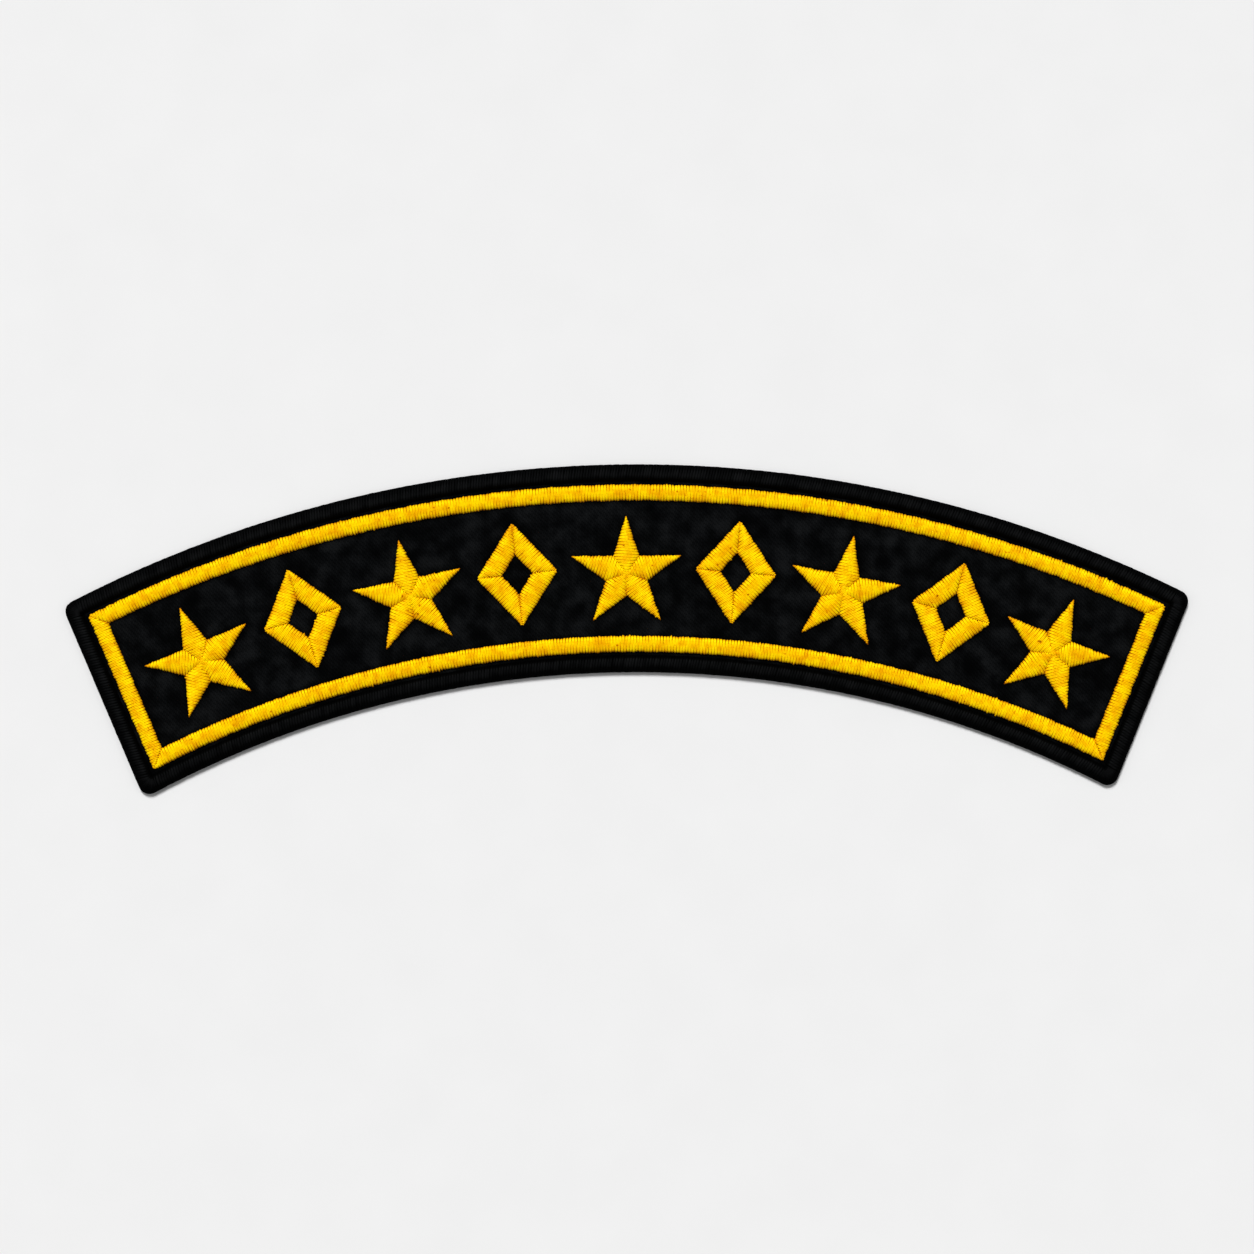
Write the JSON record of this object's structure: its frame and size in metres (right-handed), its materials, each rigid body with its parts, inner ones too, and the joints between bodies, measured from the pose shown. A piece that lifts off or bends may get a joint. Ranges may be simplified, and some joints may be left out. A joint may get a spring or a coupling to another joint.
{
  "type": "rocker patch",
  "caption": "Curved embroidered back patch: black twill band with a whipped black edge, a yellow satin frame line, and a row of yellow stars and lozenges in its field.",
  "frame": {"origin": "middle of the patch's bounding box, on its flat back", "axes": "+X across the patch from end to end, +Y towards the crown of its arch, +Z out of its face"},
  "size_m": [0.305, 0.0884, 0.0023],
  "materials": {
    "black_twill": "matte woven twill",
    "black_thread": "whipped thread with a soft sheen",
    "yellow_thread": "glossy satin stitch"
  },
  "bodies": {
    "root": {"base_cloth": "black_twill", "frame_line": "yellow_thread", "lozenge_1": "yellow_thread", "lozenge_2": "yellow_thread", "lozenge_3": "yellow_thread", "lozenge_4": "yellow_thread", "merrow_edge": "black_thread", "star_1": "yellow_thread", "star_2": "yellow_thread", "star_3": "yellow_thread", "star_4": "yellow_thread", "star_5": "yellow_thread"}
  },
  "joints": []
}
